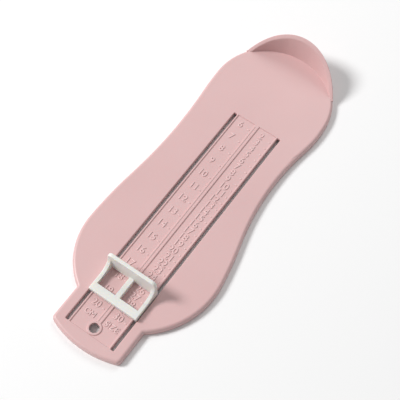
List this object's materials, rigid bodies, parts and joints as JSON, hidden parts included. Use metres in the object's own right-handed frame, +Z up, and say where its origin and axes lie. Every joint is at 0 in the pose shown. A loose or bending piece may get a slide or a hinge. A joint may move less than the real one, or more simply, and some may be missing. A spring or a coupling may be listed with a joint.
{
  "type": "foot measuring device",
  "caption": "Child's foot gauge: a footprint-shaped plate with a slant-cut heel cup and centimetre scale, and a toe slider with reading windows that runs along slots in the plate.",
  "frame": {"origin": "on the floor, on the scale's centre line, half way between the heel end and the tail end", "axes": "+Z up, +Y towards the heel cup, +X across the plate"},
  "size_m": [0.0869, 0.2284, 0.0221],
  "materials": {
    "pink_plastic": "satin moulded",
    "white_plastic": "satin moulded"
  },
  "bodies": {
    "plate": {"base_plate": "pink_plastic"},
    "slider": {"toe_slider": "white_plastic"}
  },
  "joints": [
    {"name": "slider_travel", "type": "slide", "parent": "plate", "child": "slider", "axis": [0, 1, 0], "range_m": [-0.0235, 0.1229]}
  ]
}
